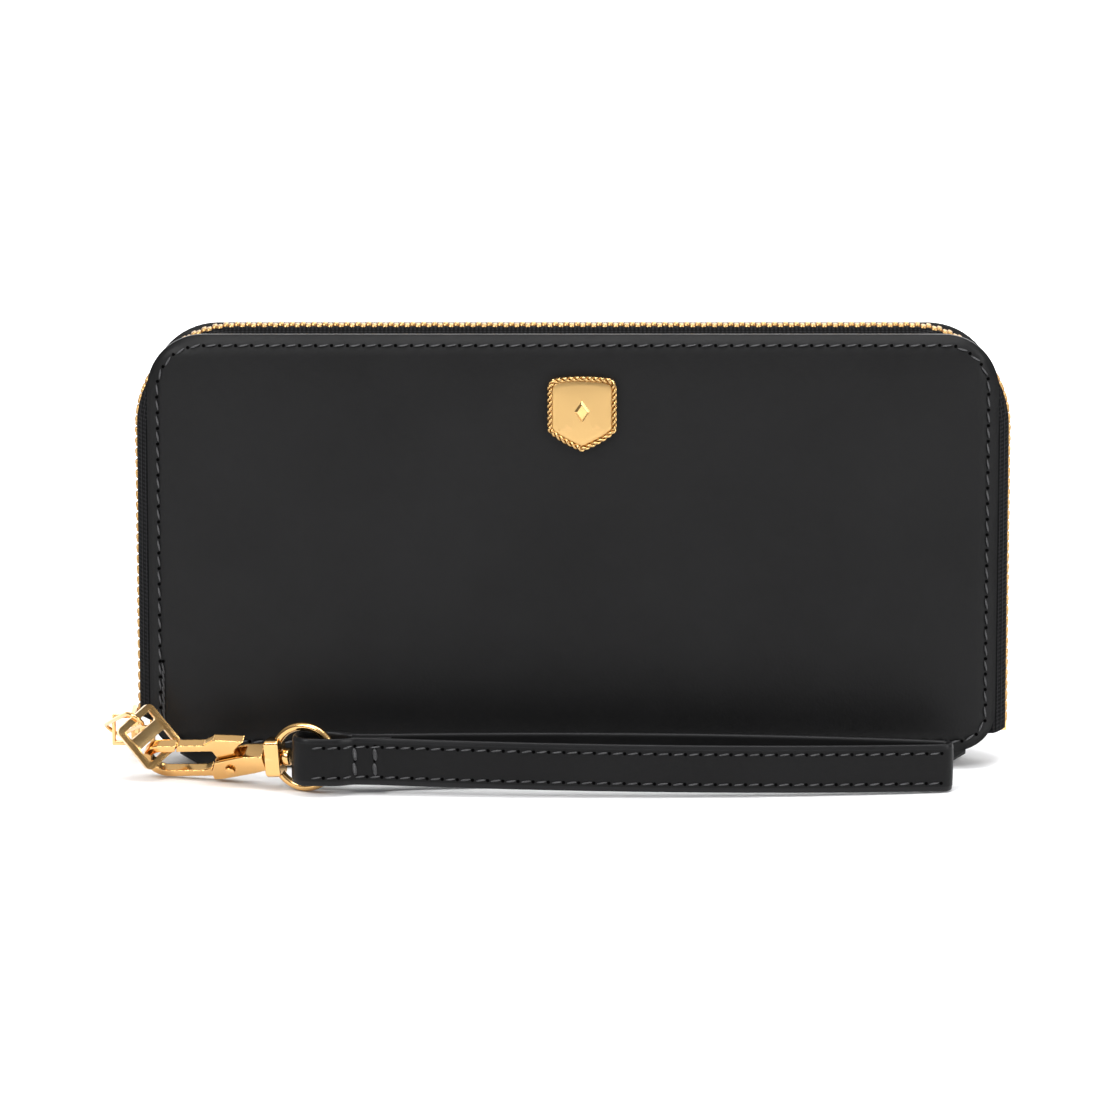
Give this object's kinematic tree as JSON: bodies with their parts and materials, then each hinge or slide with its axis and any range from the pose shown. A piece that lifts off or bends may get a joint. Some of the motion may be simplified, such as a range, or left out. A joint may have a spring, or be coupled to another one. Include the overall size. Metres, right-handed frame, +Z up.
{
  "type": "zip around wallet",
  "caption": "Long zip-around wallet with leather covers, card pockets, a zipped divider and a wrist strap on a lobster clasp.",
  "frame": {"origin": "on the table, under the middle of the spine that the wallet stands on", "axes": "+X along the spine to the right as seen from the front, +Y from the front cover to the back cover, +Z up to the zip's long side"},
  "size_m": [0.2123, 0.0483, 0.1048],
  "materials": {
    "leather": "smooth satin leather",
    "lining": "thin matt lining leather",
    "zip_tape": "woven polyester tape",
    "gold_metal": "polished light gold plating",
    "thread": "waxed thread",
    "edge_paint": "painted leather edge"
  },
  "bodies": {
    "front_half": {"spine": "leather", "zip_stop": "gold_metal", "front_cover": "leather", "front_lining": "lining", "front_zip_tape": "zip_tape", "front_zip_teeth": "gold_metal", "front_card_panel": "lining", "front_card_row_1": "lining", "front_card_row_2": "lining", "front_card_row_3": "lining", "badge_rope_frame": "gold_metal", "badge_plate": "gold_metal"},
    "back_half": {"back_cover": "leather", "back_lining": "lining", "back_zip_tape": "zip_tape", "back_zip_teeth": "gold_metal", "back_card_panel": "lining", "back_card_row_1": "lining", "back_card_row_2": "lining", "back_card_row_3": "lining"},
    "divider": {"coin_front_wall": "lining", "coin_back_wall": "lining", "coin_zip": "gold_metal"},
    "coin_runner": {"coin_slider": "gold_metal"},
    "coin_tag": {"coin_pull": "gold_metal"},
    "slider": {"slider_body": "gold_metal", "slider_crown": "gold_metal"},
    "link": {"pull_link": "gold_metal"},
    "tab": {"pull_tab": "gold_metal"},
    "hook": {"hook_body": "gold_metal", "gate_rivet": "gold_metal", "gate_spring": "gold_metal", "swivel_pin": "gold_metal"},
    "gate": {"hook_gate": "gold_metal"},
    "ring": {"swivel_ring": "gold_metal"},
    "strap": {"wrist_strap": "leather"}
  },
  "joints": [
    {"name": "cover_open", "type": "hinge", "parent": "front_half", "child": "back_half", "pos_m": [0, 0.0094, 0.0034], "axis": [-1, 0, 0], "range_deg": [0, 90]},
    {"name": "divider_open", "type": "hinge", "parent": "front_half", "child": "divider", "pos_m": [0, 0, 0.0045], "axis": [-1, 0, 0], "range_deg": [0, 45]},
    {"name": "coin_zip_slide", "type": "slide", "parent": "divider", "child": "coin_runner", "axis": [1, 0, 0], "range_m": [0, 0.14]},
    {"name": "coin_tag_turn", "type": "hinge", "parent": "coin_runner", "child": "coin_tag", "pos_m": [-0.0715, -0.0025, 0.086], "axis": [0, 1, 0], "range_deg": [-80, 80]},
    {"name": "zip_slide", "type": "slide", "parent": "front_half", "child": "slider", "axis": [0, 0, 1], "range_m": [0, 0.062]},
    {"name": "link_swing", "type": "hinge", "parent": "slider", "child": "link", "pos_m": [-0.10785, 0, 0.0075], "axis": [0, 0, 1], "range_deg": [-90, 0]},
    {"name": "tab_turn", "type": "hinge", "parent": "link", "child": "tab", "pos_m": [-0.102, -0.01951, 0.01477], "axis": [0.7188, 0.3993, 0.5691], "range_deg": [-25, 0]},
    {"name": "hook_turn", "type": "hinge", "parent": "tab", "child": "hook", "pos_m": [-0.09526, -0.01944, 0.00621], "axis": [0.7188, 0.3993, 0.5691], "range_deg": [-25, 0]},
    {"name": "gate_press", "type": "hinge", "parent": "hook", "child": "gate", "pos_m": [-0.0791, -0.02292, 0.00524], "axis": [-0.2056, -0.7945, -0.5714], "range_deg": [0, 22], "stiffness_Nm_per_rad": 0.05},
    {"name": "ring_swivel", "type": "hinge", "parent": "hook", "child": "ring", "pos_m": [-0.06902, -0.02728, 0.00767], "axis": [0.9474, -0.3078, 0.0872], "continuous": true},
    {"name": "strap_swing", "type": "hinge", "parent": "ring", "child": "strap", "pos_m": [-0.05538, -0.03172, 0.0083], "axis": [0, 0, 1], "range_deg": [-30, 0]}
  ],
  "couplings": [
    {"joint": "divider_open", "follows": "cover_open", "ratio": 0.5}
  ]
}
